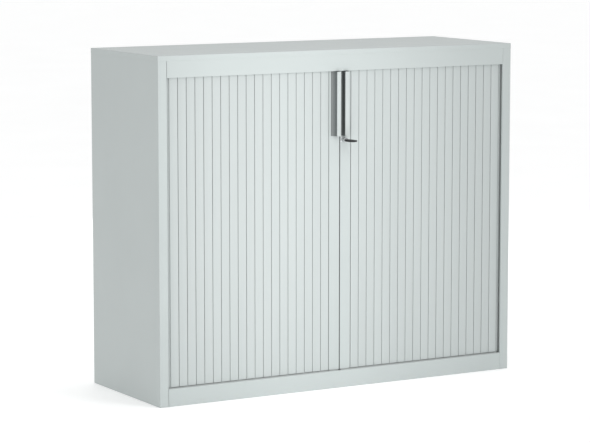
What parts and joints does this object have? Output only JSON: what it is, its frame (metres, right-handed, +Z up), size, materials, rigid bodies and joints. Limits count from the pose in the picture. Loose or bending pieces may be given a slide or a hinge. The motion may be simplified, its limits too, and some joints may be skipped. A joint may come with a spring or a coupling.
{
  "type": "roll-front storage cupboard",
  "caption": "Low steel cupboard with two tambour doors that slide sideways round the corners, fin handles, a keyed cam lock and adjustable shelves.",
  "frame": {"origin": "on the floor, at the middle of the carcass's width and depth", "axes": "+Z up, the doors face -Y, +X towards the right-hand door seen from the front"},
  "size_m": [1.2, 0.4848, 1],
  "materials": {
    "painted_sheet": "satin light grey powder coat",
    "painted_profile": "satin light grey powder coat",
    "slat_plastic": "fine matt light grey",
    "guide_plastic": "matt mid grey",
    "handle_plastic": "satin dark grey",
    "trim_plastic": "satin light grey",
    "plated_zinc": "satin nickel plate",
    "plated_steel": "zinc plated",
    "buffer_rubber": "matt black",
    "bow_plastic": "fine matt black"
  },
  "bodies": {
    "carcass": {"side_panel_left": "painted_sheet", "side_panel_right": "painted_sheet", "top_cap": "painted_sheet", "top_fascia": "painted_sheet", "plinth_rail": "painted_sheet", "base_panel": "painted_sheet", "floor_panel": "painted_sheet", "inner_top": "painted_sheet", "back_panel": "painted_sheet", "inner_side_left": "painted_sheet", "inner_side_right": "painted_sheet", "inner_back": "painted_sheet", "shelf_lower": "painted_sheet", "shelf_upper": "painted_sheet", "shelf_clips_lower": "plated_steel", "shelf_clips_upper": "plated_steel", "door_buffers": "buffer_rubber", "bottom_track_left": "guide_plastic", "bottom_track_right": "guide_plastic", "top_track_left": "guide_plastic", "top_track_right": "guide_plastic", "centre_stops": "guide_plastic", "left_slats": "slat_plastic", "right_slats": "slat_plastic", "left_slat_glides": "guide_plastic", "right_slat_glides": "guide_plastic", "back_rivets": "plated_steel"},
    "left_door": {"left_leading_profile": "painted_profile", "left_top_shoe": "guide_plastic", "left_bottom_shoe": "guide_plastic", "left_handle": "handle_plastic", "left_handle_trim": "trim_plastic", "left_handle_screws": "plated_steel", "striker_stud": "plated_steel"},
    "right_door": {"right_leading_profile": "painted_profile", "right_top_shoe": "guide_plastic", "right_bottom_shoe": "guide_plastic", "right_handle": "handle_plastic", "right_handle_trim": "trim_plastic", "right_handle_screws": "plated_steel", "lock_barrel": "plated_zinc", "lock_nut": "plated_steel"},
    "lock_core": {"lock_plug": "plated_zinc", "lock_cam": "plated_steel", "cam_screw": "plated_steel"},
    "key": {"key_blade": "plated_steel", "key_bow": "bow_plastic"}
  },
  "joints": [
    {"name": "left_door_slide", "type": "slide", "parent": "carcass", "child": "left_door", "axis": [-1, 0, 0], "range_m": [0, 0.52], "deforming": ["left_slats", "left_slat_glides"]},
    {"name": "right_door_slide", "type": "slide", "parent": "carcass", "child": "right_door", "axis": [1, 0, 0], "range_m": [0, 0.52], "deforming": ["right_slats", "right_slat_glides"]},
    {"name": "lock_turn", "type": "hinge", "parent": "right_door", "child": "lock_core", "pos_m": [0.01, -0.2, 0.7355], "axis": [0, -1, 0], "range_deg": [0, 90]},
    {"name": "key_pull", "type": "slide", "parent": "lock_core", "child": "key", "axis": [0, -1, 0], "range_m": [0, 0.03]}
  ]
}
